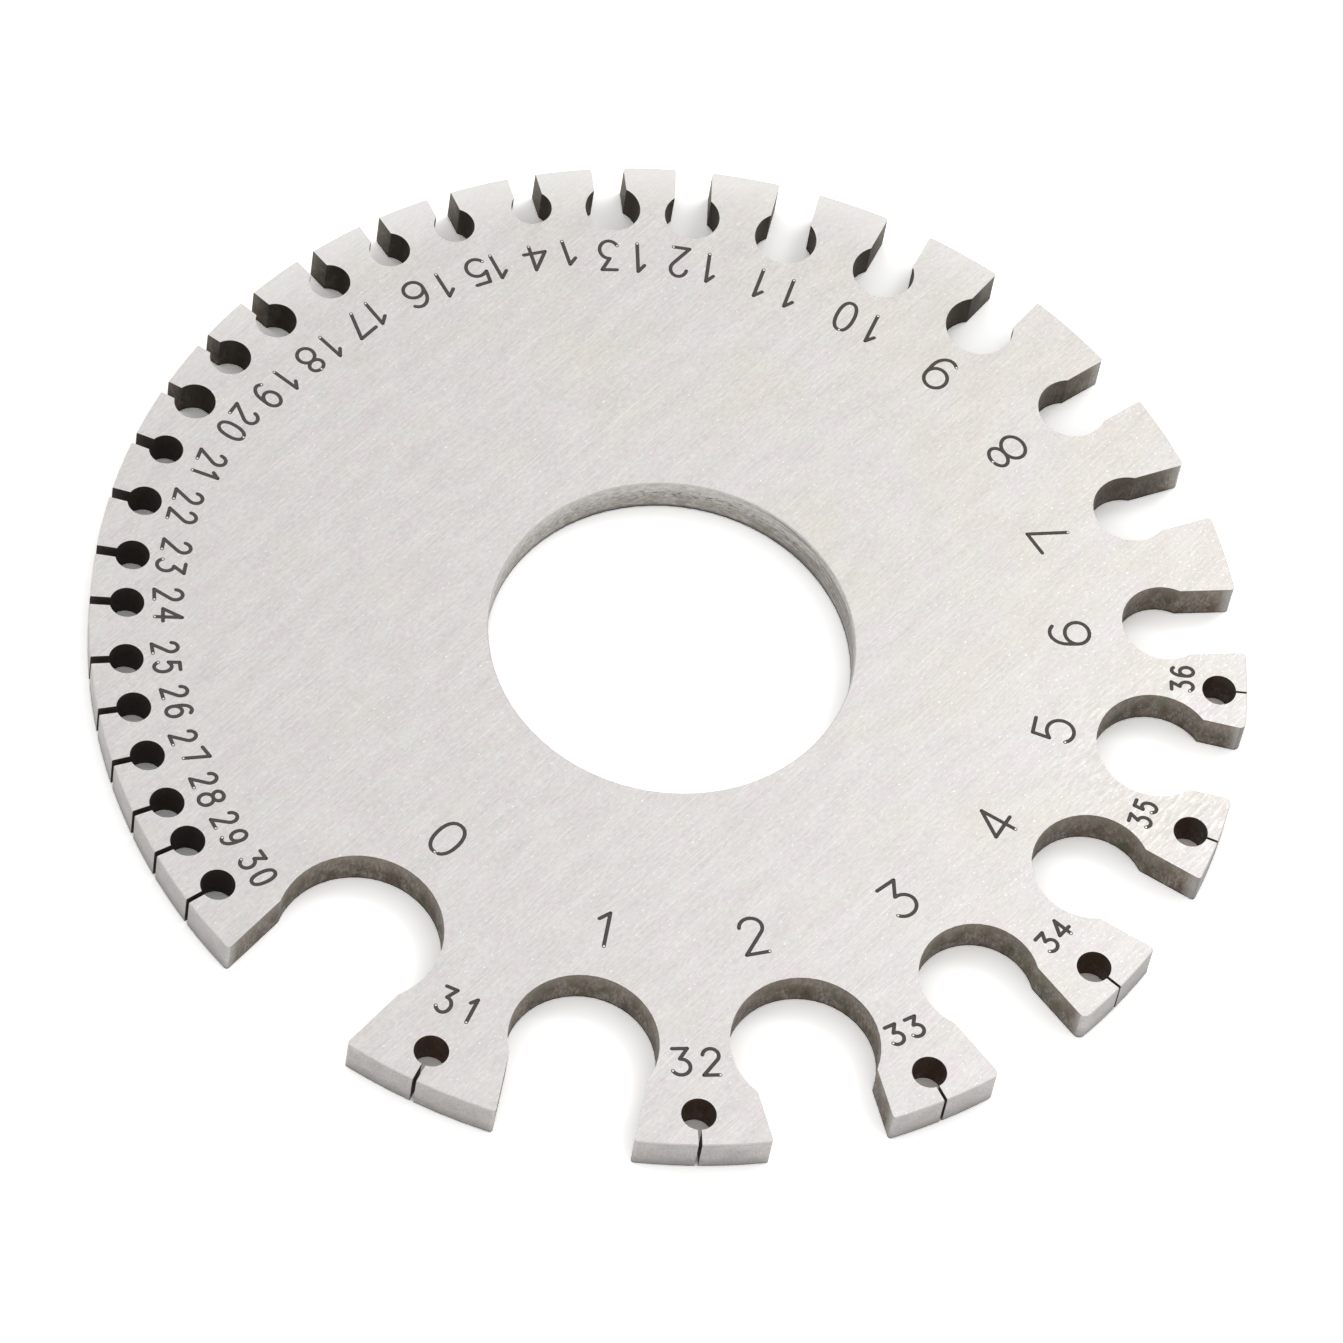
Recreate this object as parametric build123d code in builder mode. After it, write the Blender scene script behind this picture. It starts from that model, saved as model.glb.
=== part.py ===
from build123d import *
from itertools import accumulate
from math import sqrt
import os

os.makedirs("parts", exist_ok=True)

# Plate: one flat disc with a central bore
plate_diameter = 63.0
plate_thickness = 2.25
bore_diameter = 20.0
edge_break = 0.05

# Wire series: the thickest wire, its steps before gauge 0, and the fall in diameter over a full run
thickest_wire = 11.684
steps_before_zero = 3
series_ratio = 92.0
series_steps = 39
finest_gauge = 36

# Rim notches run counterclockwise from gauge 0: the turn in degrees from each to the next.
# The finest gauges, which find no room after them, sit in the middle of the widest teeth
first_notch_angle = 240.0
turns = [30, 26, 23, 21, 19, 17, 16, 15, 15, 13, 12, 11, 9, 9, 9]
turns += [8, 8, 8, 7, 7, 7, 7, 7, 6, 7, 6, 6, 6, 5, 6]

# Round relief hole behind each throat. One drill serves all gauges from the one named until the next
# one named, and is wider than its first throat by the clearance given. Depths hold in the same way
hole_clearances = {0: 0.65, 1: 0.65, 3: 0.65, 6: 0.6, 7: 0.55, 8: 0.55, 10: 0.9, 12: 1.05}
hole_clearances |= {14: 0.65, 21: 1.15}
hole_depths = {0: 6.0, 1: 5.5, 3: 5.4, 5: 4.7, 6: 4.3, 7: 4.1, 8: 3.6, 12: 3.2, 13: 2.8, 14: 2.2, 19: 1.9}
hole_depths |= {23: 2.0, 25: 1.9, 31: 2.0, 32: 1.85, 34: 1.8, 35: 1.55}

# Mouth corners are eased by hand on the wide notches, some more than others, and sharp from this gauge on
first_sharp_gauge = 14
mouth_radii = {0: 0.2, 3: 0.4, 4: 0.2, 5: 0.35, 6: 0.25, 8: 0.2}

plate_radius = plate_diameter / 2
bore_radius = bore_diameter / 2
rim_angles = list(accumulate(turns, initial=first_notch_angle))
tooth_angles = [angle + turn / 2 for angle, turn in zip(rim_angles, turns)]
notch_angles = (rim_angles + tooth_angles)[: finest_gauge + 1]


def wire_diameter(gauge):
    """Diameter of the wire of a gauge number, which is the width of its notch."""
    return thickest_wire / series_ratio ** ((gauge + steps_before_zero) / series_steps)


def first_in_group(gauge, sizes):
    """Gauge number under which the size that holds for a gauge is listed."""
    return max(first for first in sizes if first <= gauge)


def hole_diameter(gauge):
    """Diameter of the drill for the relief hole of a gauge number."""
    first = first_in_group(gauge, hole_clearances)
    return wire_diameter(first) + hole_clearances[first]


def cut_notch(gauge):
    """Cut a keyhole notch: a relief hole, and a parallel throat from its centre out past the rim."""
    depth = hole_depths[first_in_group(gauge, hole_depths)]
    with PolarLocations(plate_radius - depth, 1, start_angle=notch_angles[gauge]):
        Circle(hole_diameter(gauge) / 2, mode=Mode.SUBTRACT)
        Rectangle(2 * depth, wire_diameter(gauge), align=(Align.MIN, Align.CENTER), mode=Mode.SUBTRACT)


with BuildPart() as gauge_plate:
    # Flat outline, where the two corners of a wide notch are those nearest to the middle of its mouth
    with BuildSketch() as outline:
        Circle(plate_radius)
        Circle(bore_radius, mode=Mode.SUBTRACT)
        for gauge in range(finest_gauge + 1):
            cut_notch(gauge)
        for gauge in range(first_sharp_gauge):
            mouth = Vector(plate_radius, 0).rotate(Axis.Z, notch_angles[gauge])
            corners = outline.vertices().sort_by_distance(mouth)[:2]
            fillet(corners, mouth_radii[first_in_group(gauge, mouth_radii)])
    extrude(amount=plate_thickness)

    # Edge breaks turned on the rim and the bore, on both faces
    edges = [(radius, z) for radius in (bore_radius, plate_radius) for z in (0, plate_thickness)]
    with BuildSketch(Plane.XZ) as edge_cuts:
        with Locations(edges):
            Rectangle(sqrt(2) * edge_break, sqrt(2) * edge_break, rotation=45)
    revolve(axis=Axis.Z, mode=Mode.SUBTRACT)

gauge_plate.part.label = "gauge_plate"
export_step(gauge_plate.part, "parts/gauge_plate.step")
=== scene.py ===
# %% [markdown]
# A wire gauge is a flat disc of stainless steel. Each keyhole notch in its rim is as wide as one size
# of wire, and a number beside the notch names that size. The plate itself comes from the CAD frame.
# What is left for Blender is what a toolmaker does last: the finish of each surface and the numbers.

# %% Load the plate
import math

import bmesh
import bpy
from mathutils import Matrix, Vector


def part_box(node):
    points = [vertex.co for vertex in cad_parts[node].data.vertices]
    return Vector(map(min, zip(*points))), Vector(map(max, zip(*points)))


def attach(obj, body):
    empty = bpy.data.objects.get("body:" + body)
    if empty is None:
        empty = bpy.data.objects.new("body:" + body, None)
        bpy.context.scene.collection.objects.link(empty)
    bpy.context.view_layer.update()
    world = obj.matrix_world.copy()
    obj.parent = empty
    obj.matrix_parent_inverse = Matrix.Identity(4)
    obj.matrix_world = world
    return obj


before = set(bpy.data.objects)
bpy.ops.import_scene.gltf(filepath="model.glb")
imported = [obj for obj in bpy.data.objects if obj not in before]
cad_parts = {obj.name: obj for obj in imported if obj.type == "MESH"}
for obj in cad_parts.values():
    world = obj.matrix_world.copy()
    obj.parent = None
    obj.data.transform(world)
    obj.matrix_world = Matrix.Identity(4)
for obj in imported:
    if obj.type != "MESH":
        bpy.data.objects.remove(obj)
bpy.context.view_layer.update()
mm = 0.001
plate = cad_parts["gauge_plate"]
plate_low, plate_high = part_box("gauge_plate")
top_z = plate_high.z
print("plate", [round(side / mm, 2) for side in plate_high - plate_low], "mm")

# %% [markdown]
# The photograph was taken from in front and above with a long lens, and the camera was tipped a little.
# A camera can be placed by eye, or from a few measured values, as here: how high it stands, how it is
# turned and tipped, how far away it is, and the pixel where the middle of the bore lies. Written down
# this way, every value can be changed by itself.

# %% Camera
photo_px = 1343
focal_px = 7480
bore_px = (672.2, 636.1)
camera_distance = 405.0 * mm
camera_elevation = math.radians(56.32)
camera_turn = math.radians(1.19)
camera_tip = math.radians(-10.9)
sensor_mm = 36

face_centre = Vector((0, 0, top_z))
level = math.cos(camera_elevation)
# The camera's own axes while it looks straight at the middle of the bore: to its back and to its right
back = Vector((level * math.sin(camera_turn), -level * math.cos(camera_turn), math.sin(camera_elevation)))
right = Vector((math.cos(camera_turn), math.sin(camera_turn), 0))
facing = Matrix((right, back.cross(right), back)).transposed()
# The bore isn't in the middle of the picture, so the camera is turned until its pixel looks at the bore
aim = Vector((bore_px[0] - photo_px / 2, photo_px / 2 - bore_px[1], -focal_px))
turn_to_aim = aim.rotation_difference(Vector((0, 0, -1))).to_matrix()

camera = bpy.data.objects.new("camera", bpy.data.cameras.new("camera"))
camera.data.sensor_width = sensor_mm
camera.data.lens = focal_px / photo_px * sensor_mm
rotation = facing @ Matrix.Rotation(-camera_tip, 3, "Z") @ turn_to_aim
camera.matrix_world = Matrix.Translation(face_centre + back * camera_distance) @ rotation.to_4x4()
bpy.context.collection.objects.link(camera)
bpy.context.scene.camera = camera
print("lens", round(camera.data.lens, 1), "mm, camera at", camera.matrix_world.translation)

# %% [markdown]
# Colours are easy to read off a screen as sRGB, while shaders add up light in linear values, so one
# function turns a hex colour into linear values. A node could be added, set and linked in three steps
# each time. One small function does all three, which keeps the materials below short enough to read.

# %% Helpers for colours and nodes
def linear(hex_colour):
    """Turn an sRGB hex colour into linear red, green, blue and alpha."""
    channels = [int(hex_colour[i:i + 2], 16) / 255 for i in (1, 3, 5)]
    return [c / 12.92 if c <= 0.04045 else ((c + 0.055) / 1.055) ** 2.4 for c in channels] + [1]


def add_node(tree, kind, inputs=None, **settings):
    """Add a shader node, set its properties, and give each input a value or a link."""
    node = tree.nodes.new("ShaderNode" + kind)
    for name, value in settings.items():
        setattr(node, name, value)
    for name, value in (inputs or {}).items():
        if isinstance(value, bpy.types.NodeSocket):
            tree.links.new(value, node.inputs[name])
        else:
            node.inputs[name].default_value = value
    return node


print("a middle grey of #808080 is", round(linear("#808080")[0], 3), "in linear values")

# %% [markdown]
# Grinding, turning, boring and cutting each leave grains of several sizes over each other. A picture of
# them would break at every edge of the plate. A noise on Object coordinates goes right through it
# instead, and one function lays such noises, each drawn out to the length, width and height in
# millimetres that the grain has on the real steel.

# %% Helpers for materials and their grain
def new_material(name):
    """Make an empty material, and give it with its node tree and its Object coordinates."""
    material = bpy.data.materials.new(name)
    material.use_nodes = True
    material.node_tree.nodes.clear()
    return material, material.node_tree, add_node(material.node_tree, "TexCoord").outputs["Object"]


def lay_grains(tree, coords, grains_mm, turn=0.0):
    """Lay named grains, each a noise as large along x, y and z as its size, and turned about z."""
    grains = {}
    for name, size in grains_mm.items():
        place = add_node(tree, "Mapping", {"Vector": coords, "Rotation": (0, 0, turn),
                                           "Scale": [side * mm for side in size]}, vector_type="TEXTURE")
        noise = add_node(tree, "TexNoise", {"Vector": place.outputs[0], "Scale": 1.0, "Detail": 2.0})
        grains[name] = noise.outputs["Fac"]
    return grains


print("one scene unit is", round(1 / mm), "mm")

# %% [markdown]
# Stainless steel sheet is ground flat on a belt. Each grain of grit ploughs a short, hair-fine scratch,
# and all of them run one way. Scratches could be modelled, but each is finer than a hair, so noise that
# is drawn out along the belt's direction draws them: short flakes, with longer hairlines between them.
# Wider blotches keep the face from looking printed. The three together choose between two pale tones.

# %% Belt-ground steel for both faces
belt_turn = math.radians(58)
# So deep that the grain is the same at every height
any_depth = 1000

# Belt-ground stainless steel: bright and soft, with short broken hairlines that all run one way.
# Many real scratches are too fine to show, so the finest here are drawn a tenth of a millimetre wide
ground, tree, coords = new_material("belt_ground_stainless")
grains = lay_grains(tree, coords, {
    "flakes": (0.35, 0.15, any_depth), "hairlines": (3.5, 0.1, any_depth),
    "flecks": (0.22, 0.13, any_depth), "blotches": (2.6, 0.9, any_depth), "scores": (14, 0.09, any_depth),
    "tints": (1.8, 1.2, any_depth), "clouds": (7, 5, any_depth), "scuffs": (0.8, 0.2, any_depth)}, belt_turn)
fine = add_node(tree, "Mix", {"Factor": 0.38, "A": grains["flakes"], "B": grains["hairlines"]})
tone = add_node(tree, "Mix", {"Factor": 0.25, "A": fine.outputs[0], "B": grains["blotches"]})
tone = add_node(tree, "MapRange", {"Value": tone.outputs[0], "From Min": 0.32, "From Max": 0.68})
steel = add_node(tree, "Mix", {"Factor": tone.outputs[0], "A": linear("#D4D0D0"), "B": linear("#ECEAE9")},
                 data_type="RGBA")
print(ground.name, "has the grains", list(grains))

# %% [markdown]
# No ground sheet has the same colour all over. Small tints lean a trace towards pink or green, and wide
# clouds are warmer, most of all at the back on the right. The colours could be mixed in, but that would
# cover the grain. Multiplied with it, a nearly white colour tints the steel and leaves its grain alone.

# %% Tints of the ground steel
warm_side = (0.7, 0.7, 0)
warm_from = -25 * mm
warm_to = 25 * mm

tint = add_node(tree, "MapRange", {"Value": grains["tints"], "From Min": 0.35, "From Max": 0.65})
tint = add_node(tree, "Mix", {"Factor": tint.outputs[0], "A": linear("#FFFCFD"), "B": linear("#FDFEFB")},
                data_type="RGBA")
steel = add_node(tree, "Mix", {"Factor": 1.0, "A": steel.outputs[2], "B": tint.outputs[2]},
                 data_type="RGBA", blend_type="MULTIPLY")
across = add_node(tree, "VectorMath", {0: coords, 1: warm_side}, operation="DOT_PRODUCT")
warmth = add_node(tree, "MapRange", {"Value": across.outputs["Value"], "From Min": warm_from,
                                     "From Max": warm_to, "To Min": -0.15, "To Max": 0.15})
warmth = add_node(tree, "Math", {0: grains["clouds"], 1: warmth.outputs[0]}, operation="ADD")
warmth = add_node(tree, "MapRange", {"Value": warmth.outputs[0], "From Min": 0.5, "From Max": 0.75})
steel = add_node(tree, "Mix", {"Factor": warmth.outputs[0], "A": steel.outputs[2], "B": linear("#FFFEF9")},
                 data_type="RGBA", blend_type="MULTIPLY")
print("tinted,", len(tree.nodes), "nodes so far")

# %% [markdown]
# A few grains of grit dig deeper. They leave long pale scores, and bright flecks that crowd on the teeth
# at the right. Both are noises of which only the peaks are let through. A ramp that rises to the right
# is added to the noise of the flecks, so that more of its peaks get through on that side.

# %% Scores and flecks of the ground steel
crowd_from = 12 * mm
crowd_to = 29 * mm

score = add_node(tree, "MapRange", {"Value": grains["scores"], "From Min": 0.62, "From Max": 0.74,
                                    "To Max": 0.45})
steel = add_node(tree, "Mix", {"Factor": score.outputs[0], "A": steel.outputs[2], "B": linear("#F8F6F3")},
                 data_type="RGBA")
rightwards = add_node(tree, "SeparateXYZ", {"Vector": coords}).outputs["X"]
crowd = add_node(tree, "MapRange", {"Value": rightwards, "From Min": crowd_from, "From Max": crowd_to,
                                    "To Max": 0.045})
fleck = add_node(tree, "Math", {0: grains["flecks"], 1: crowd.outputs[0]}, operation="ADD")
fleck = add_node(tree, "MapRange", {"Value": fleck.outputs[0], "From Min": 0.65, "From Max": 0.74})
steel = add_node(tree, "Mix", {"Factor": fleck.outputs[0], "A": steel.outputs[2], "B": linear("#FBF9F7")},
                 data_type="RGBA")
print("scored and flecked,", len(tree.nodes), "nodes so far")

# %% [markdown]
# Around the teeth at the far right a coarser grit scuffed the face. Its scuffs are dull and darker, partly
# painted shade of the rough flakes, and its ridges are painted glints. They could be painted into one image,
# but the spot is round, so a Mapping node is enough: it centres and scales the coordinates until the spot is
# a ball of radius 1. Scuffs lie where the noise is high, and ridges where it is low, both only inside the
# ball. On the plate the ball is flat, so it stays off the underside.

# %% Scuffed spot of the ground steel
scuffed_spot = (28 * mm, -2 * mm, top_z)
scuffed_reach = (8.5 * mm, 8.5 * mm, 1 * mm)
full_scuffs_within = 0.4

# For each mark: the noise at which it begins, the noise at which it is full, its colour and its strength
# Painted shade on the dull scuffs, and painted glints on the ridges
scuff_marks = {"dull shaded scuffs": (0.5, 0.64, "#C8C0B8", 0.4), "ridge glints": (0.46, 0.34, "#FDFCFA", 0.45)}

place = add_node(tree, "Mapping", {"Vector": coords, "Location": scuffed_spot, "Scale": scuffed_reach},
                 vector_type="TEXTURE")
scuffed = add_node(tree, "VectorMath", {0: place.outputs[0]}, operation="LENGTH").outputs["Value"]
scuffed = add_node(tree, "MapRange", {"Value": scuffed, "From Min": full_scuffs_within,
                                      "To Min": 1, "To Max": 0})
for begins, full, colour, strength in scuff_marks.values():
    mark = add_node(tree, "MapRange", {"Value": grains["scuffs"], "From Min": begins, "From Max": full,
                                       "To Max": strength})
    mark = add_node(tree, "Math", {0: mark.outputs[0], 1: scuffed.outputs[0]}, operation="MULTIPLY")
    steel = add_node(tree, "Mix", {"Factor": mark.outputs[0], "A": steel.outputs[2], "B": linear(colour)},
                     data_type="RGBA")
print("scuffed with", list(scuff_marks))

# %% [markdown]
# On the teeth at the back on the left the steel grows paler and more even towards the rim: a painted
# highlight, where the rounded far edge catches the light. Two ramps are multiplied, one that rises towards
# that side and one that rises outwards from the bore's axis, so that the steel is pale only where both are
# high.

# %% Painted highlight on the back teeth of the ground steel
# A tooth stands right at the back of the plate, so its highest y is the plate's full radius
plate_radius = plate_high.y
sheen_side = math.radians(112)
sheen_from = 17 * mm
sheen_to = 31 * mm
sheen_band = 3.4 * mm
full_sheen_band = 0.4 * mm


def from_axis(tree, coords):
    """Give how far each spot is from the bore's axis."""
    level_place = add_node(tree, "VectorMath", {0: coords, 1: (1, 1, 0)}, operation="MULTIPLY")
    return add_node(tree, "VectorMath", {0: level_place.outputs[0]}, operation="LENGTH").outputs["Value"]


# Painted highlight: the steel is paler near the far rim of these teeth
sideways = add_node(tree, "VectorMath", {0: coords, 1: (math.cos(sheen_side), math.sin(sheen_side), 0)},
                    operation="DOT_PRODUCT").outputs["Value"]
sideways = add_node(tree, "MapRange", {"Value": sideways, "From Min": sheen_from, "From Max": sheen_to})
outwards = add_node(tree, "MapRange", {"Value": from_axis(tree, coords), "To Max": 0.65,
                                       "From Min": plate_radius - sheen_band,
                                       "From Max": plate_radius - full_sheen_band})
paling = add_node(tree, "Math", {0: sideways.outputs[0], 1: outwards.outputs[0]}, operation="MULTIPLY")
steel = add_node(tree, "Mix", {"Factor": paling.outputs[0], "A": steel.outputs[2], "B": linear("#FAF9F8")},
                 data_type="RGBA")
print("rubbed,", len(tree.nodes), "nodes so far")

# %% [markdown]
# Colour alone would look printed, because a scratch also turns the light. A flake is more or less glossy
# than the next one, and a slight relief tilts the surface along each scratch, with more of it in the
# scuffs. Bump does that without one more face in the mesh.

# %% Gloss and relief of the ground steel
gloss = add_node(tree, "MapRange", {"Value": grains["flakes"], "To Min": 0.3, "To Max": 0.5})
relief = add_node(tree, "Bump", {"Height": fine.outputs[0], "Strength": 0.25, "Distance": 0.01 * mm})
furrows = add_node(tree, "Math", {0: grains["scuffs"], 1: scuffed.outputs[0]}, operation="MULTIPLY")
relief = add_node(tree, "Bump", {"Height": furrows.outputs[0], "Strength": 0.08, "Distance": 0.02 * mm,
                                 "Normal": relief.outputs[0]})
shader = add_node(tree, "BsdfPrincipled", {"Base Color": steel.outputs[2], "Metallic": 1.0,
                                           "Roughness": gloss.outputs[0], "Normal": relief.outputs[0]})
add_node(tree, "OutputMaterial", {"Surface": shader.outputs[0]})
print(ground.name, len(tree.nodes), "nodes")

# %% [markdown]
# The rim is turned round on a lathe and then smoothed upright with a fine stone. So the grain on it runs up
# and down, and the noise is narrow along the rim and tall in z. Wider clouds show where the stone pressed
# less. Towards the far right the rim is darker: painted shade, since less light reaches that side.

# %% Stoned steel for the rim
shade_side_from = 26 * mm
shade_side_to = 31 * mm

# Turned and stoned stainless steel: a neutral satin grey, softly clouded and finely streaked up and down
turned, tree, coords = new_material("stoned_stainless")
grains = lay_grains(tree, coords, {"streaks": (0.1, 0.1, 0.22), "clouds": (0.9, 0.9, 0.7)})
tone = add_node(tree, "Mix", {"Factor": 0.4, "A": grains["streaks"], "B": grains["clouds"]})
tone = add_node(tree, "MapRange", {"Value": tone.outputs[0], "From Min": 0.35, "From Max": 0.65})
steel = add_node(tree, "Mix", {"Factor": tone.outputs[0], "A": linear("#A29F9D"), "B": linear("#B7B4B2")},
                 data_type="RGBA")
place = add_node(tree, "SeparateXYZ", {"Vector": coords})
# Painted shade: the rim grows darker towards the far right
side_shade = add_node(tree, "MapRange", {"Value": place.outputs["X"], "From Min": shade_side_from,
                                        "From Max": shade_side_to, "To Max": 0.8})
steel = add_node(tree, "Mix", {"Factor": side_shade.outputs[0], "A": steel.outputs[2],
                               "B": linear("#6B6868")}, data_type="RGBA")
print(turned.name, "has the grains", list(grains))

# %% [markdown]
# Towards its foot the rim is darker, and a thin dark line of painted contact shadow runs along the very
# edge. One ramp by height can't be wide and faint and also narrow and strong, so two ramps are laid over
# each other. A little
# bump on the streaks breaks the light as the marks of the stone do.

# %% Foot of the rim
low_from = 0.1 * mm
low_to = 0.9 * mm
contact_shadow_from = 0.03 * mm
contact_shadow_to = 0.2 * mm

low = add_node(tree, "MapRange", {"Value": place.outputs["Z"], "From Min": low_from, "From Max": low_to,
                                  "To Min": 0.5, "To Max": 0})
steel = add_node(tree, "Mix", {"Factor": low.outputs[0], "A": steel.outputs[2], "B": linear("#7A7675")},
                 data_type="RGBA")
# Painted shadow: a thin dark line along the foot, where the rim meets the floor
contact_shadow = add_node(tree, "MapRange", {"Value": place.outputs["Z"], "From Min": contact_shadow_from,
                                    "From Max": contact_shadow_to, "To Min": 0.5, "To Max": 0})
steel = add_node(tree, "Mix", {"Factor": contact_shadow.outputs[0], "A": steel.outputs[2], "B": linear("#3B3836")},
                 data_type="RGBA")
relief = add_node(tree, "Bump", {"Height": grains["streaks"], "Strength": 0.25, "Distance": 0.01 * mm})
shader = add_node(tree, "BsdfPrincipled", {"Base Color": steel.outputs[2], "Metallic": 1.0,
                                           "Roughness": 0.42, "Normal": relief.outputs[0]})
add_node(tree, "OutputMaterial", {"Surface": shader.outputs[0]})
print(turned.name, len(tree.nodes), "nodes")

# %% [markdown]
# The bore is bored to size, and the tool smears the steel. Its upper part is pale and even, and lower down
# the wall is darker and blotched. Two materials could meet on the wall, but the change is soft, so both
# tones are mixed by the height in one.

# %% Bored steel for the middle hole
upper_from = 1.0 * mm
upper_to = 1.8 * mm

# Bored stainless steel: satin grey with soft level smears, torn into small dark pits lower down
bored, tree, coords = new_material("bored_stainless")
grains = lay_grains(tree, coords, {"smears": (0.35, 0.35, 0.2), "pits": (0.28, 0.28, 0.09),
                                   "tints": (0.6, 0.6, 0.7), "rings": (3.5, 3.5, 0.1)})
place = add_node(tree, "SeparateXYZ", {"Vector": coords})
tone = add_node(tree, "MapRange", {"Value": grains["smears"], "From Min": 0.32, "From Max": 0.68})
upper_tone = add_node(tree, "Mix", {"Factor": tone.outputs[0], "A": linear("#AEAAA6"), "B": linear("#C6C3C0")},
                 data_type="RGBA")
lower_tone = add_node(tree, "Mix", {"Factor": tone.outputs[0], "A": linear("#948F8A"), "B": linear("#BBB7B2")},
                data_type="RGBA")
tint = add_node(tree, "MapRange", {"Value": grains["tints"], "From Min": 0.5, "From Max": 0.7,
                                   "To Max": 0.5})
lower_tone = add_node(tree, "Mix", {"Factor": tint.outputs[0], "A": lower_tone.outputs[2], "B": linear("#93917F")},
                data_type="RGBA")
upper = add_node(tree, "MapRange", {"Value": place.outputs["Z"], "From Min": upper_from,
                                    "From Max": upper_to})
steel = add_node(tree, "Mix", {"Factor": upper.outputs[0], "A": lower_tone.outputs[2], "B": upper_tone.outputs[2]},
                 data_type="RGBA")
print(bored.name, "has the grains", list(grains))

# %% [markdown]
# Towards the right the boring tool left fine dark rings, which a noise that is wide and very low draws. Most
# of the pits that it tore lie in a row halfway up, and a painted contact shadow darkens the last edge at the
# foot. To crowd the pits in their row, a band of height is added to their noise before its peaks are let
# through.

# %% Rings and pits of the bored steel
ringed_from = 1 * mm
ringed_to = 5 * mm
pit_row_height = 1.25 * mm
pit_row_core = 0.05 * mm
pit_row_reach = 0.6 * mm
foot_shadow_from = 0.08 * mm
foot_shadow_to = 0.35 * mm

ringed = add_node(tree, "MapRange", {"Value": place.outputs["X"], "From Min": ringed_from,
                                     "From Max": ringed_to, "To Max": 0.7})
rings = add_node(tree, "MapRange", {"Value": grains["rings"], "From Min": 0.47, "From Max": 0.55})
rings = add_node(tree, "Math", {0: rings.outputs[0], 1: ringed.outputs[0]}, operation="MULTIPLY")
steel = add_node(tree, "Mix", {"Factor": rings.outputs[0], "A": steel.outputs[2], "B": linear("#77726D")},
                 data_type="RGBA")
off_row = add_node(tree, "Math", {0: place.outputs["Z"], 1: pit_row_height}, operation="SUBTRACT")
off_row = add_node(tree, "Math", {0: off_row.outputs[0]}, operation="ABSOLUTE")
row = add_node(tree, "MapRange", {"Value": off_row.outputs[0], "From Min": pit_row_core,
                                  "From Max": pit_row_reach, "To Min": 0.1, "To Max": 0})
pits = add_node(tree, "Math", {0: grains["pits"], 1: row.outputs[0]}, operation="ADD")
pits = add_node(tree, "MapRange", {"Value": pits.outputs[0], "From Min": 0.67, "From Max": 0.75,
                                   "To Max": 0.75})
steel = add_node(tree, "Mix", {"Factor": pits.outputs[0], "A": steel.outputs[2], "B": linear("#4A4541")},
                 data_type="RGBA")
# Painted shadow: the foot of the bore's wall is nearly black where it meets the floor
foot_shadow = add_node(tree, "MapRange", {"Value": place.outputs["Z"], "From Min": foot_shadow_from,
                                   "From Max": foot_shadow_to, "To Min": 0.95, "To Max": 0})
steel = add_node(tree, "Mix", {"Factor": foot_shadow.outputs[0], "A": steel.outputs[2], "B": linear("#3A3733")},
                 data_type="RGBA")
relief = add_node(tree, "Bump", {"Height": grains["smears"], "Strength": 0.4, "Distance": 0.02 * mm})
shader = add_node(tree, "BsdfPrincipled", {"Base Color": steel.outputs[2], "Metallic": 1.0,
                                           "Roughness": 0.45, "Normal": relief.outputs[0]})
add_node(tree, "OutputMaterial", {"Surface": shader.outputs[0]})
print(bored.name, len(tree.nodes), "nodes")

# %% [markdown]
# A cutting wire with a spark at its side cuts the notches. It leaves a dull skin, streaked up and down as
# the wire stands upright, with patches of grey, olive and red-brown where the sparks burnt the steel, and
# dark specks. Each kind of patch is a noise of its own, so that they overlap as freely as real ones do.
# The loop that lays them takes one more kind as one more line.

# %% Skin that the sparks leave
cut_grains_mm = {
    "streaks": (0.13, 0.13, 0.35), "olive": (0.7, 0.7, 1.1), "burns": (0.6, 0.6, 1.0),
    "greys": (0.7, 0.7, 1.2), "shades": (1.0, 1.0, 1.6), "specks": (0.14, 0.14, 0.14)}

# Each kind of patch with its colour, and how strongly that covers the skin
patch_colours = {"greys": ("#898180", 0.6), "olive": ("#61634A", 0.8), "burns": ("#6A5549", 0.6),
                 "shades": ("#4C463C", 0.4)}


def spark_skin(tree, coords):
    """Lay the mottled skin that sparks leave. Give the node of its colour, and its streaks."""
    grains = lay_grains(tree, coords, cut_grains_mm)
    tone = add_node(tree, "MapRange", {"Value": grains["streaks"], "From Min": 0.3, "From Max": 0.7})
    skin = add_node(tree, "Mix", {"Factor": tone.outputs[0], "A": linear("#69625B"), "B": linear("#989087")},
                    data_type="RGBA")
    for grain, (colour, strength) in patch_colours.items():
        patch = add_node(tree, "MapRange", {"Value": grains[grain], "From Min": 0.5, "From Max": 0.64,
                                            "To Max": strength})
        skin = add_node(tree, "Mix", {"Factor": patch.outputs[0], "A": skin.outputs[2], "B": linear(colour)},
                        data_type="RGBA")
    speck = add_node(tree, "MapRange", {"Value": grains["specks"], "From Min": 0.58, "From Max": 0.68,
                                        "To Max": 0.6})
    skin = add_node(tree, "Mix", {"Factor": speck.outputs[0], "A": skin.outputs[2], "B": linear("#3B362F")},
                    data_type="RGBA")
    return skin, grains["streaks"]


print("patches of", list(patch_colours))

# %% [markdown]
# The skin isn't the same everywhere. Near the top of the wall it is a little brighter, which is painted
# light, and along the foot there is the same painted contact shadow as on the rim. Inside a narrow notch it
# is darker, partly a darker skin and partly painted shade, and at the mouth of a wide one the stone that
# smoothed the rim rubbed the last half millimetre of the wall grey. Masks could be painted for this, but
# height and the distance from the bore's axis tell it all. So ramps of those two are laid over the skin, and
# a function takes their shares, which differ from notch to notch.

# %% Wire-cut steel for the notch walls
top_light_from = 0.9 * mm
top_light_to = 2.1 * mm
hole_radius = plate_radius - 1.9 * mm
throat_radius = plate_radius - 0.8 * mm
mouth_radius = plate_radius - 0.35 * mm


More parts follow.
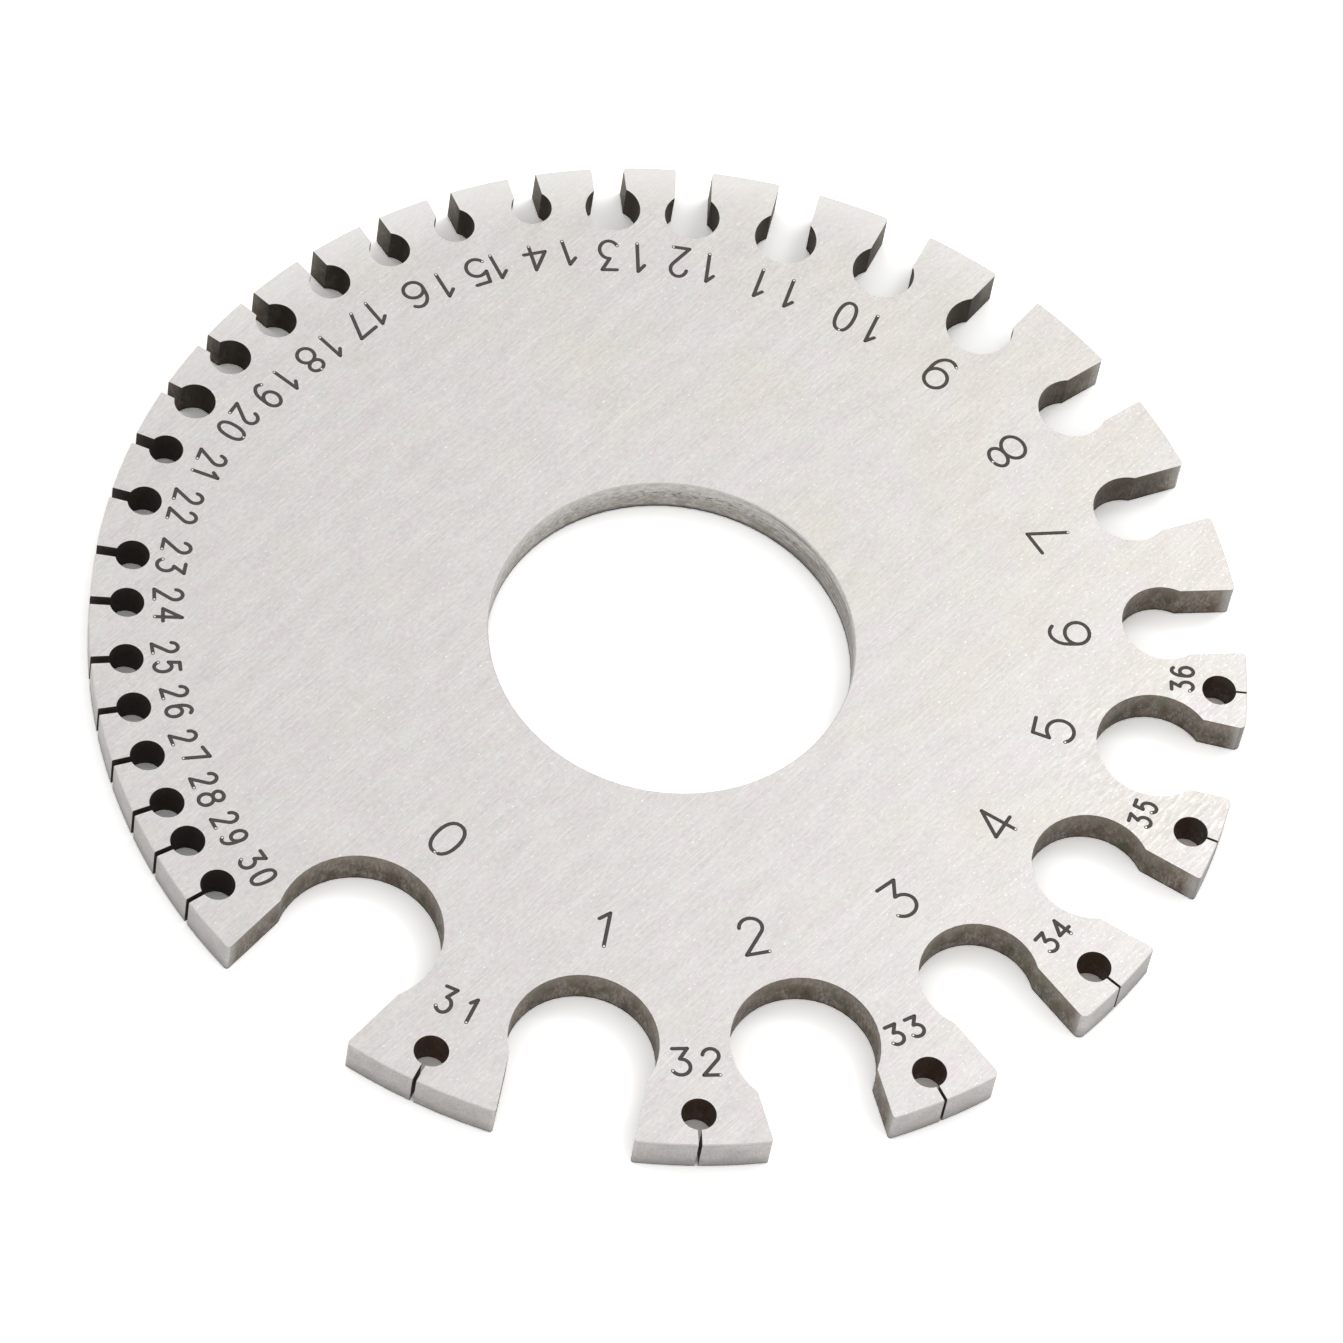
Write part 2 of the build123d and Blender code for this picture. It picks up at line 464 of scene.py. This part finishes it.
def wire_cut(name, paling=0.0, dark_mouth=0.0, dark_inside=0.0, dark_colour="#3E372C"):
    """Make spark-cut steel: stoned paler grey by a share at the mouth, and dark by a share there and in the
    hole, partly as painted shade.
    """
    material, tree, coords = new_material(name)
    skin, streaks = spark_skin(tree, coords)
    height = add_node(tree, "SeparateXYZ", {"Vector": coords}).outputs["Z"]
    # Painted light: the upper part of the wall is lighter
    top_light = add_node(tree, "MapRange", {"Value": height, "From Min": top_light_from, "From Max": top_light_to,
                                         "To Max": 0.4})
    skin = add_node(tree, "Mix", {"Factor": top_light.outputs[0], "A": skin.outputs[2], "B": linear("#A0978D")},
                    data_type="RGBA")
    # Painted shadow: the same thin dark line along the foot of the wall
    contact_shadow = add_node(tree, "MapRange", {"Value": height, "From Min": contact_shadow_from, "From Max": contact_shadow_to,
                                        "To Min": 0.6, "To Max": 0})
    skin = add_node(tree, "Mix", {"Factor": contact_shadow.outputs[0], "A": skin.outputs[2], "B": linear("#332F2A")},
                    data_type="RGBA")
    radius = from_axis(tree, coords)
    # Partly painted shade: darker inwards, where little light gets into a narrow notch
    inside = add_node(tree, "MapRange", {"Value": radius, "From Min": hole_radius, "From Max": throat_radius,
                                         "To Min": dark_inside, "To Max": dark_mouth})
    skin = add_node(tree, "Mix", {"Factor": inside.outputs[0], "A": skin.outputs[2],
                                  "B": linear(dark_colour)}, data_type="RGBA")
    mouth = add_node(tree, "MapRange", {"Value": radius, "From Min": throat_radius, "From Max": mouth_radius,
                                        "To Max": paling})
    skin = add_node(tree, "Mix", {"Factor": mouth.outputs[0], "A": skin.outputs[2], "B": linear("#B3B2AE")},
                    data_type="RGBA")
    relief = add_node(tree, "Bump", {"Height": streaks, "Strength": 0.5, "Distance": 0.02 * mm})
    shader = add_node(tree, "BsdfPrincipled", {"Base Color": skin.outputs[2], "Metallic": 1.0,
                                               "Roughness": 0.6, "Normal": relief.outputs[0]})
    add_node(tree, "OutputMaterial", {"Surface": shader.outputs[0]})
    return material


print("darkest within", round(hole_radius / mm, 2), "mm of the axis, rubbed from",
      round(throat_radius / mm, 2), "mm on")

# %% [markdown]
# The narrower the notch, the less light gets in. So the narrow notches are darker, most of all in the round
# hole, partly with a darker skin from the cut and partly by painted shade, and the finest are brown there.
# Each finish could be a material written out in full, but a change to the skin would then have to be made
# four times. One function with different shares keeps the four alike where they should be.

# %% Four wire-cut finishes
# Spark-cut stainless steel: dull grey-brown, mottled with olive, red-brown and grey about a millimetre wide
cut = wire_cut("wire_cut_stainless", paling=0.55)

# Spark-cut stainless steel: the same skin, and a shade darker from the mouth inwards, partly as painted
# shade
middling_cut = wire_cut("shaded_wire_cut_stainless", paling=0.5, dark_inside=0.45)

# Spark-cut stainless steel with a darker skin: dark already at the mouth, and darkest olive-brown in the
# hole, partly as painted shade
narrow_cut = wire_cut("dark_wire_cut_stainless", dark_mouth=0.4, dark_inside=0.9)

# Spark-cut stainless steel, heated as it was cut: the same skin with a warm brown oxide in the hole
brown_cut = wire_cut("brown_wire_cut_stainless", dark_inside=0.6, dark_colour="#6A4733")
print("wire-cut finishes:", len(cut.node_tree.nodes), "nodes each")

# %% [markdown]
# From gauge 21 to 30 the slit is so fine that the sparks burn the steel black and hardly any light gets in,
# so its near black is partly painted shade. It could be one more shade of the skin above. But oxide is no
# metal to the eye: it takes up the light and mirrors next to nothing. So this finish is not metallic, and
# because so little of it shows, one noise that shifts its dark colour is enough.

# %% Burnt steel with painted shade for the fine notches
burn_grain = 0.2 * mm

# Burnt spark-cut steel: nearly black with a red-brown cast, partly from its oxide and partly painted shade
burnt_and_shaded_cut, tree, coords = new_material("burnt_and_shaded_stainless")
noise = add_node(tree, "TexNoise", {"Vector": coords, "Scale": 1 / burn_grain, "Detail": 2.0})
skin = add_node(tree, "Mix", {"Factor": noise.outputs["Fac"], "A": linear("#1F1713"),
                              "B": linear("#403329")}, data_type="RGBA")
shader = add_node(tree, "BsdfPrincipled", {"Base Color": skin.outputs[2], "Metallic": 0.0, "Roughness": 0.7})
add_node(tree, "OutputMaterial", {"Surface": shader.outputs[0]})
print(burnt_and_shaded_cut.name, len(tree.nodes), "nodes")

# %% [markdown]
# A touch of the lathe tool takes the burr off the edges of the rim and the bore. That leaves a hair-thin
# bevel that is brighter than the wall below it. The bevel is in the plate's mesh already, so it needs
# only a finish of its own.

# %% Bright steel for the broken edges
edge_grain = 0.3 * mm

# Freshly cut stainless steel: bright satin, since nothing has dulled it yet
edges, tree, coords = new_material("fresh_cut_stainless")
noise = add_node(tree, "TexNoise", {"Vector": coords, "Scale": 1 / edge_grain, "Detail": 2.0})
steel = add_node(tree, "Mix", {"Factor": noise.outputs["Fac"], "A": linear("#C4C0BE"),
                               "B": linear("#E2DFDC")}, data_type="RGBA")
shader = add_node(tree, "BsdfPrincipled", {"Base Color": steel.outputs[2], "Metallic": 1.0,
                                           "Roughness": 0.5})
add_node(tree, "OutputMaterial", {"Surface": shader.outputs[0]})
print(edges.name, len(tree.nodes), "nodes")

# %% [markdown]
# Where the notches stand is needed twice: to tell the walls of the fine ones, and to set out the numbers.
# Their angles could be listed again, but the plate itself gives them, so nothing can fall out of step. The
# two side walls of a throat run along the notch's middle line, so the way such a wall runs is the angle of
# its notch. Counted counterclockwise from gauge 0, every second notch is one of the six finest until those
# are used up, because they sit in the middle of the widest teeth.

# %% Find the notches
first_notch_angle = 240
notches_in_teeth = 6
# The rounded corners of a mouth reach no further in from the rim than this
corner_reach = 0.45 * mm
# A face of a side wall runs at least this far inwards, and stands upright to within this tilt
shortest_throat = 0.3 * mm
wall_tilt = 0.01


def throat_angle(polygon):
    """Give the angle in degrees of the notch that a face is a side wall of, or None for any other face."""
    radii = [plate.data.vertices[i].co.to_2d().length for i in polygon.vertices]
    reaches_mouth = max(radii) > plate_radius - corner_reach and max(radii) - min(radii) > shortest_throat
    if abs(polygon.normal.z) > wall_tilt or not reaches_mouth:
        return None
    along = Vector((-polygon.normal.y, polygon.normal.x))
    if along.dot(polygon.center.to_2d()) < 0:
        along.negate()
    return round(math.degrees(math.atan2(along.y, along.x)) % 360, 1)


round_the_rim = sorted({throat_angle(polygon) for polygon in plate.data.polygons} - {None},
                       key=lambda angle: (angle - first_notch_angle) % 360)
alternating = 2 * notches_in_teeth
between_teeth = round_the_rim[:alternating:2] + round_the_rim[alternating:]
within_teeth = round_the_rim[1:alternating:2]
notch_angles = between_teeth + within_teeth
print(len(notch_angles), "notches, at", notch_angles)

# %% [markdown]
# Many values on this gauge hold for a stretch of gauge numbers, from the drills that made the holes to the
# height of the digits. Such a value is listed once, under the number where its stretch begins. To tell
# which notch a wall is in, the wall is held against the fine notches one by one: it belongs to a notch if
# it lies close to that notch's middle line, no deeper than its hole.

# %% Tell the walls of the notches apart
# From each gauge on: how deep the round holes are centred, how far they reach aside, and their finish
fine_walls_mm = {7: (4.1, 2.3, middling_cut), 9: (3.6, 2.1, narrow_cut), 14: (2.2, 1.3, narrow_cut),
                 21: (2.0, 1.3, burnt_and_shaded_cut), 31: (2.0, 1.3, brown_cut)}
first_fine_gauge = min(fine_walls_mm)


def holds_for(gauge, values):
    """Pick the value that holds at a gauge number, from values listed where they change."""
    return values[max(first for first in values if first <= gauge)]


def middle_line(angle):
    """Give the direction in which the middle line of the notch at an angle runs outwards."""
    return Vector((math.cos(math.radians(angle)), math.sin(math.radians(angle))))


def wall_finish(spot):
    """Choose the finish of a notch wall by the notch that a spot on it lies in."""
    for gauge, angle in enumerate(notch_angles[first_fine_gauge:], first_fine_gauge):
        depth_mm, reach_mm, finish = holds_for(gauge, fine_walls_mm)
        line = middle_line(angle)
        along = min(max(spot.dot(line), plate_radius - depth_mm * mm), plate_radius)
        if (spot - along * line).length < reach_mm * mm:
            return finish
    return cut


print("notches from gauge", first_fine_gauge, "on are darker")

# %% [markdown]
# The plate is one mesh, so the finish is chosen face by face. The way a face points, and how far it is
# from the bore's axis, tell whether it is a flat face, an upper bevel, the rim, the bore or the wall of a
# notch. The rounded corners of a mouth, which still face outwards, were stoned with the rim.

# %% Give each face of the plate its finish
# A normal is 1 long. At least this much of it points up on a flat face and on a bevel, and outwards on a
# rounded corner
flat_tilt = 0.99
bevel_tilt = 0.2
outward_tilt = 0.15
bevel_reach = 0.1 * mm
bore_radius = min(vertex.co.to_2d().length for vertex in plate.data.vertices)


def face_finish(polygon):
    """Choose the finish of one face of the plate."""
    radii = [plate.data.vertices[i].co.to_2d().length for i in polygon.vertices]
    on_rim = min(radii) > plate_radius - bevel_reach
    on_bore = max(radii) < bore_radius + bevel_reach
    if abs(polygon.normal.z) > flat_tilt:
        return ground
    if on_rim or on_bore:
        return edges if polygon.normal.z > bevel_tilt else turned if on_rim else bored
    spot = polygon.center.to_2d()
    faces_out = polygon.normal.to_2d().dot(spot.normalized()) > outward_tilt
    if faces_out and spot.length > plate_radius - corner_reach:
        return turned
    return wall_finish(spot)


finishes = [ground, turned, bored, edges, cut, middling_cut, narrow_cut, brown_cut, burnt_and_shaded_cut]
plate.data.materials.clear()
for finish in finishes:
    plate.data.materials.append(finish)
for polygon in plate.data.polygons:
    polygon.material_index = finishes.index(face_finish(polygon))
for index, finish in enumerate(finishes):
    print(finish.name, sum(polygon.material_index == index for polygon in plate.data.polygons), "faces")

# %% [markdown]
# The numbers are cut with a round tool that follows a single line, so every stroke has the same width
# and round ends. A font would have the wrong shapes. Here each digit is drawn as such a tool moves, in
# runs: a run goes on until its line has a corner. Round stretches come from one function for part of an
# oval.

# %% Strokes of the ten digits
degrees_a_point = 15


def oval(x, y, across, up, start, end, square=1.0):
    """Points along an oval about (x, y), from a start to an end angle, squarer where square is under 1."""
    steps = max(2, round(abs(end - start) / degrees_a_point))
    angles = [math.radians(start + (end - start) * step / steps) for step in range(steps + 1)]
    return [(x + across * math.copysign(abs(math.cos(a)) ** square, math.cos(a)),
             y + up * math.copysign(abs(math.sin(a)) ** square, math.sin(a))) for a in angles]


# Points are in digit heights: x to the right from the digit's left side, y up from its foot
digit_runs = {
    "0": [oval(0.325, 0.5, 0.325, 0.5, 108, 452, 0.88)],
    "1": [[(0, 0.78), (0.24, 1)], [(0.24, 1), (0.27, 0.05)]],
    "2": [oval(0.3, 0.74, 0.3, 0.26, 175, -35) + [(0.02, 0)], [(0.02, 0), (0.62, 0.02)]],
    "3": [[(0.04, 0.98), (0.6, 1)], [(0.6, 1), (0.31, 0.6)], oval(0.34, 0.3, 0.35, 0.3, 95, -150)],
    "4": [[(0.73, 0.34), (0, 0.33)], [(0, 0.33), (0.47, 1)], [(0.47, 1), (0.49, 0.05)]],
    "5": [[(0.6, 1), (0.13, 1)], [(0.13, 1), (0.08, 0.57)],
          [(0.08, 0.57)] + oval(0.35, 0.34, 0.335, 0.34, 125, -150)],
    "6": [oval(0.36, 0.55, 0.36, 0.45, 55, 180) + [(0, 0.31)], oval(0.335, 0.31, 0.335, 0.31, 0, 360)],
    "7": [[(0, 0.85), (0.67, 1)], [(0.67, 1), (0.41, 0)]],
    "8": [oval(0.36, 0.29, 0.36, 0.29, 0, 360), oval(0.335, 0.79, 0.305, 0.21, 112, 455)],
    "9": [oval(0.31, 0.69, 0.31, 0.31, 0, 360), [(0.62, 0.69)] + oval(0.28, 0.42, 0.34, 0.42, 0, -125)],
}
print(len(digit_runs), "digits,", sum(len(runs) for runs in digit_runs.values()), "runs")

# %% [markdown]
# The numbers were laid out by hand, so they follow habits and no one rule. Each stands with its foot towards
# its notch, some way in from the round hole, and most stand a little clockwise of the notch's middle line. A
# list with a place for every number would be exact, but it would explain nothing. So each value here is a
# habit that holds from the gauge it names until the next one named, and a number may stand a quarter of a
# millimetre from its true place. The 0 of gauge 0 stands on its head. Two numbers have a second digit that
# is clearly higher than the first.

# %% Layout of the numbers
# The height of the digits, how wide they are for it against the strokes above, and how many heights the
# second digit is from the first
heights_mm = {0: 2.2, 10: 2.0, 14: 1.7, 20: 1.55, 25: 1.4, 31: 1.6, 33: 1.2}
widths = {0: 0.95, 10: 0.75, 14: 1, 18: 0.8, 21: 0.7, 32: 0.9, 35: 0.7}
pitches = {10: 0.9, 14: 1.15, 15: 0.75, 16: 1.1, 17: 0.7, 18: 0.95, 20: 0.85, 21: 0.65, 22: 0.85}
pitches |= {32: 1, 35: 0.8}
second_stands_mm = {17: 0.25, 27: 0.3}

# How far the foot is from the hole, how far the number stands aside, and how many degrees it is tilted
gaps_mm = {0: 1.8, 4: 1.2, 6: 1.9, 9: 1.1, 11: 0.8, 14: 1.4, 17: 1.2, 20: 0.8, 22: 0.5, 26: 0.7, 31: 1.4}
gaps_mm |= {33: 1.2, 36: 0.5}
asides_mm = {0: -0.3, 2: -0.9, 3: -0.5, 8: -0.3, 15: -0.6, 17: -0.2, 19: 0, 22: -0.3, 24: 0, 29: 0.3}
asides_mm |= {31: 0, 36: 0.5}
tilts = {0: 180, 1: -1, 2: -3, 3: -1, 8: 1, 11: -6, 14: 0, 16: -5, 21: 0, 23: -5, 24: 1, 28: -4, 31: 0}

# The edge of a round hole is looked for this close to the notch's middle line
hole_search = 0.6 * mm


def hole_edge(angle):
    """Give how far from the bore's axis the round hole of the notch at an angle begins."""
    line = middle_line(angle)
    spots = [vertex.co.to_2d() for vertex in plate.data.vertices]
    on_line = [spot.dot(line) for spot in spots if abs(spot.cross(line)) < hole_search]
    return min(reach for reach in on_line if reach > bore_radius + bevel_reach)


print("holes begin at", [round(hole_edge(angle) / mm, 2) for angle in notch_angles], "mm")

# %% [markdown]
# Grooves could be cut into the plate, but its mesh comes from the CAD and stays as it is. So each run
# becomes a curve with a round bevel, and a ball closes each of its ends, as the round tool does. Both are
# then pressed flat, until only about a hundredth of a millimetre stands out of the face: to the eye it is
# a dark line in the steel.

# %% Strokes of the marking tool
stroke_width = 0.215 * mm
stroke_rise = 0.008 * mm
# Steps of a curve's bevel, and subdivisions of a ball
roundness = 2


def add_runs(target, runs, place):
    """Add the runs of one digit to a bmesh. Place turns points in metres on the digit into the plate."""
    pressed = place @ Matrix.Diagonal((1, 1, 2 * stroke_rise / stroke_width, 1))
    curve = bpy.data.curves.new("runs", "CURVE")
    curve.dimensions = "3D"
    curve.bevel_depth = stroke_width / 2
    curve.bevel_resolution = roundness
    for points in runs:
        spline = curve.splines.new("POLY")
        spline.points.add(len(points) - 1)
        for point, (x, y) in zip(spline.points, points):
            point.co = (x, y, 0, 1)
    holder = bpy.data.objects.new("runs", curve)
    mesh = bpy.data.meshes.new_from_object(holder)
    mesh.transform(pressed)
    target.from_mesh(mesh)
    bpy.data.objects.remove(holder)
    bpy.data.curves.remove(curve)
    bpy.data.meshes.remove(mesh)
    for points in runs:
        for x, y in (points[0], points[-1]):
            ball = pressed @ Matrix.Translation((x, y, 0))
            bmesh.ops.create_icosphere(target, subdivisions=roundness, radius=stroke_width / 2, matrix=ball)


print("strokes", round(stroke_width / mm, 3), "mm wide")

# %% [markdown]
# Where the tool lifts out at the end of a digit it leaves a tiny bright burr. A painted dot would do from
# above, but a burr stands higher than its stroke, so it is one more flattened ball, whose faces have a
# material slot of their own. A digit that ends on a closed ring shows none.

# %% Burrs, and whole digits
burr_width = 0.14 * mm
burr_rise = 0.012 * mm
burr_slot = 1


def add_burr(target, spot, place):
    """Add the bright burr at the end of a digit."""
    pressed = place @ Matrix.Translation((*spot, 0)) @ Matrix.Diagonal((1, 1, 2 * burr_rise / burr_width, 1))
    ball = bmesh.ops.create_icosphere(target, subdivisions=roundness, radius=burr_width / 2, matrix=pressed)
    for face in {face for vertex in ball["verts"] for face in vertex.link_faces}:
        face.material_index = burr_slot


def cut_digit(target, digit, width, height, place):
    """Add one digit about its middle, with its burr unless its last run is a closed ring."""
    runs = digit_runs[digit]
    right_side = max(x for points in runs for x, y in points)
    sized = [[((x - right_side / 2) * width, (y - 0.5) * height) for x, y in points] for points in runs]
    add_runs(target, sized, place)
    first, last = sized[-1][0], sized[-1][-1]
    if math.dist(first, last) > stroke_width / 2:
        add_burr(target, last, place)


print("burrs", round(burr_width / mm, 3), "mm wide")

# %% [markdown]
# A number is placed as it would be on a turning table: the plate is turned until the notch points at you,
# the number is set down at its distance from the axis and a little aside, and then it is stood upright.
# Matrices do the same, read from left to right. All numbers go into one mesh, since nobody will ever
# move one by itself.

# %% Cut the numbers
numbers = bmesh.new()
for gauge, notch_angle in enumerate(notch_angles):
    digits = str(gauge)
    height = holds_for(gauge, heights_mm) * mm
    width = holds_for(gauge, widths) * height
    pitch = holds_for(gauge, pitches) * height if len(digits) > 1 else 0
    climb = second_stands_mm.get(gauge, 0) * mm
    aside = holds_for(gauge, asides_mm) * mm
    middle_radius = hole_edge(notch_angle) - holds_for(gauge, gaps_mm) * mm - height / 2
    turn = Matrix.Rotation(math.radians(notch_angle), 4, "Z")
    upright = Matrix.Rotation(math.radians(90 + holds_for(gauge, tilts)), 4, "Z")
    stand = turn @ Matrix.Translation((middle_radius, aside, top_z)) @ upright
    for index, digit in enumerate(digits):
        share = index - (len(digits) - 1) / 2
        step = Matrix.Translation((share * pitch, share * climb, 0))
        cut_digit(numbers, digit, width, height, stand @ step)

number_marks = bpy.data.objects.new("number_marks", bpy.data.meshes.new("number_marks"))
numbers.to_mesh(number_marks.data)
numbers.free()
bpy.context.collection.objects.link(number_marks)
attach(number_marks, "root")
print("number marks:", len(number_marks.data.polygons), "faces")

# %% [markdown]
# The strokes are burnt as they are cut, so they are dark grey with a brown tint, dull, and uneven along
# their length. The burr is bare metal. Both could be one material with a mask, but the faces of a burr
# already have a slot of their own, so two small materials are plainer.

# %% Dark and bright steel for the numbers
mark_grain = 0.15 * mm
burr_grain = 0.05 * mm

# Burnt-in stainless steel: matt and dark brownish grey, since its rough floor swallows the light
marked, tree, coords = new_material("marked_stainless")
noise = add_node(tree, "TexNoise", {"Vector": coords, "Scale": 1 / mark_grain, "Detail": 2.0})
dark = add_node(tree, "Mix", {"Factor": noise.outputs["Fac"], "A": linear("#38322F"),
                              "B": linear("#57504C")}, data_type="RGBA")
shader = add_node(tree, "BsdfPrincipled", {"Base Color": dark.outputs[2], "Metallic": 0.0,
                                           "Roughness": 0.65})
add_node(tree, "OutputMaterial", {"Surface": shader.outputs[0]})
number_marks.data.materials.append(marked)

# Bare stainless burr: a small bright glint, as it is smooth and stands a little proud
burr, tree, coords = new_material("bare_stainless")
noise = add_node(tree, "TexNoise", {"Vector": coords, "Scale": 1 / burr_grain})
pale = add_node(tree, "Mix", {"Factor": noise.outputs["Fac"], "A": linear("#E6E3E0"),
                              "B": linear("#FBFAF8")}, data_type="RGBA")
shader = add_node(tree, "BsdfPrincipled", {"Base Color": pale.outputs[2], "Metallic": 1.0, "Roughness": 0.3})
add_node(tree, "OutputMaterial", {"Surface": shader.outputs[0]})
number_marks.data.materials.append(burr)
print([material.name for material in number_marks.data.materials])

# %% [markdown]
# The gauge lies on a plain pale table under a soft, even light. The floor is one large sheet that lies a
# hair below the plate, so that the two never share a surface, which would flicker.

# %% Floor
floor_size = 4
floor_drop = 0.02 * mm

sheet = bmesh.new()
bmesh.ops.create_grid(sheet, x_segments=1, y_segments=1, size=floor_size / 2,
                      matrix=Matrix.Translation((0, 0, -floor_drop)))
floor = bpy.data.objects.new("floor", bpy.data.meshes.new("floor"))
sheet.to_mesh(floor.data)
sheet.free()
bpy.context.collection.objects.link(floor)
print("floor", floor_size, "m wide")

# %% [markdown]
# Stronger light would turn the floor white, but it would bleach the steel too. So the floor's own colour
# stays a pale grey that lights the gauge from below, and a paler colour that only the camera and
# reflections see lifts it to white. It still takes the gauge's shadow. Light that has already bounced
# off something dull meets the floor's own colour again.

# %% White paper for the floor
own_tone = 0.8
mirrored_tone = 1.5
seen_tone = 1.68
# Diffuse Depth counts the dull surfaces that a ray has bounced off, so below this it has met none
first_bounce = 0.5

# White paper: matt and even
paper, tree, _ = new_material("white_paper")
path = add_node(tree, "LightPath")
seen = add_node(tree, "Math", {0: path.outputs["Is Camera Ray"], 1: path.outputs["Is Glossy Ray"]},
                operation="MAXIMUM")
seen = add_node(tree, "Math", {0: seen.outputs[0], 1: path.outputs["Is Transmission Ray"]},
                operation="MAXIMUM")
direct = add_node(tree, "Math", {0: path.outputs["Diffuse Depth"], 1: first_bounce}, operation="LESS_THAN")
seen = add_node(tree, "Math", {0: seen.outputs[0], 1: direct.outputs[0]}, operation="MULTIPLY")
shade = add_node(tree, "Mix", {"Factor": seen.outputs[0], "A": own_tone, "B": mirrored_tone})
shade = add_node(tree, "Mix", {"Factor": path.outputs["Is Camera Ray"], "A": shade.outputs[0],
                               "B": seen_tone})
matt = add_node(tree, "BsdfDiffuse", {"Color": shade.outputs[0]})
add_node(tree, "OutputMaterial", {"Surface": matt.outputs[0]})
floor.data.materials.append(paper)
print(paper.name, len(tree.nodes), "nodes")

# %% [markdown]
# Bare steel shows what surrounds it, so it looks best in a tent of white cloth that shines evenly from all
# sides. Many soft lamps could stand for the tent, but a pale world does it with no hot spots. One square
# lamp behind the plate on the right is added, because that side of the face is a little brighter.

# %% Light
tent_strength = 0.925
lamp_place = Vector((0.24, 0.33, 0.52))
lamp_size = 0.2
lamp_watts = 0.48

world = bpy.data.worlds.new("soft_room")
world.use_nodes = True
world.node_tree.nodes["Background"].inputs["Color"].default_value = linear("#F4F4F3")
world.node_tree.nodes["Background"].inputs["Strength"].default_value = tent_strength
bpy.context.scene.world = world

lamp = bpy.data.objects.new("back_lamp", bpy.data.lights.new("back_lamp", "AREA"))
lamp.data.shape = "SQUARE"
lamp.data.size = lamp_size
lamp.data.energy = lamp_watts
lamp.location = lamp_place
lamp.rotation_euler = (-lamp_place).to_track_quat("-Z", "Y").to_euler()
bpy.context.collection.objects.link(lamp)
bpy.context.scene.view_settings.view_transform = "Standard"
print(lamp.name, "at", lamp_place, "and a tent of strength", tent_strength)
